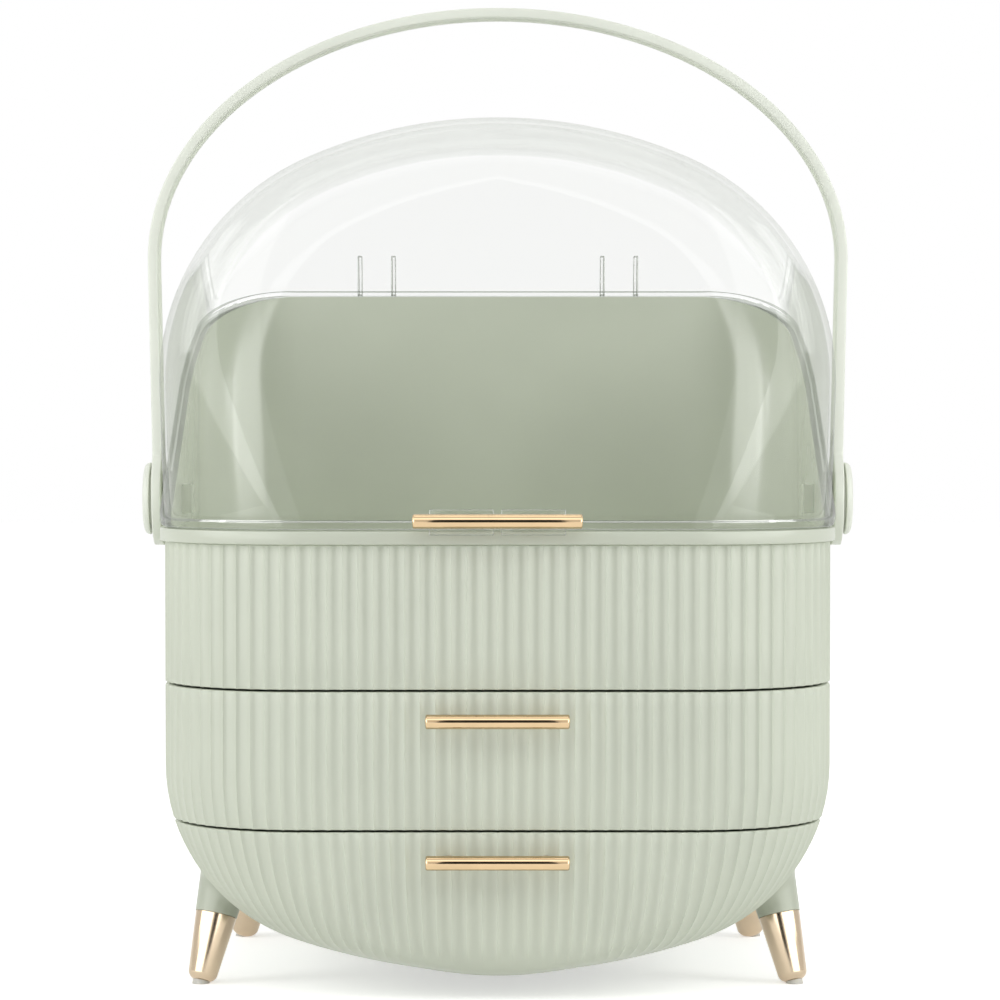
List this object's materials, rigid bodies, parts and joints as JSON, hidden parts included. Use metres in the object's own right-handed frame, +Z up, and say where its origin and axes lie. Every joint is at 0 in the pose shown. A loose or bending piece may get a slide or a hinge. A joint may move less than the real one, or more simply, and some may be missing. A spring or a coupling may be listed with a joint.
{
  "type": "makeup organizer",
  "caption": "Fluted bowl-shaped organizer on splayed legs with sliding drawers, an open tub, a rear hood, a clear hinged lid and a swinging carry handle.",
  "frame": {"origin": "on the floor, under the middle of the body", "axes": "+X to the right, +Y to the back, +Z up"},
  "size_m": [0.3114, 0.2585, 0.42],
  "materials": {
    "sage_plastic": "satin moulded plastic",
    "clear_plastic": "clear polished plastic",
    "gold_bar": "polished champagne gold plating",
    "gold_tip": "brushed champagne gold plating",
    "foot_pad": "translucent soft pad",
    "steel_pin": "plain steel"
  },
  "bodies": {
    "body": {"tub": "sage_plastic", "rear_hood": "sage_plastic", "hinge_pins": "steel_pin", "housing": "sage_plastic", "drawer_shelf": "sage_plastic", "pivot_cap_left": "sage_plastic", "pivot_cap_right": "sage_plastic", "pivot_clip_left": "sage_plastic", "pivot_clip_right": "sage_plastic", "front_leg_left": "sage_plastic", "front_leg_right": "sage_plastic", "front_tip_left": "gold_tip", "front_tip_right": "gold_tip", "front_pad_left": "foot_pad", "front_pad_right": "foot_pad", "rear_leg_left": "sage_plastic", "rear_leg_right": "sage_plastic", "rear_tip_left": "gold_tip", "rear_tip_right": "gold_tip", "rear_pad_left": "foot_pad", "rear_pad_right": "foot_pad"},
    "lid": {"clear_lid": "clear_plastic", "lid_bar_mount": "clear_plastic", "lid_bar": "gold_bar"},
    "upper_drawer": {"upper_drawer_front": "sage_plastic", "upper_drawer_tray": "sage_plastic", "upper_drawer_bar": "gold_bar", "upper_drawer_screws": "steel_pin"},
    "lower_drawer": {"lower_drawer_front": "sage_plastic", "lower_drawer_tray": "sage_plastic", "lower_drawer_bar": "gold_bar", "lower_drawer_screws": "steel_pin"},
    "handle": {"carry_handle": "sage_plastic"}
  },
  "joints": [
    {"name": "lid_hinge", "type": "hinge", "parent": "body", "child": "lid", "pos_m": [0, 0.1235, 0.29206], "axis": [-1, 0, 0], "range_deg": [0, 17]},
    {"name": "handle_swing", "type": "hinge", "parent": "body", "child": "handle", "pos_m": [0, 0, 0.205], "axis": [1, 0, 0], "range_deg": [-90, 90]},
    {"name": "upper_drawer_slide", "type": "slide", "parent": "body", "child": "upper_drawer", "axis": [0, -1, 0], "range_m": [0, 0.13]},
    {"name": "lower_drawer_slide", "type": "slide", "parent": "body", "child": "lower_drawer", "axis": [0, -1, 0], "range_m": [0, 0.13]}
  ]
}
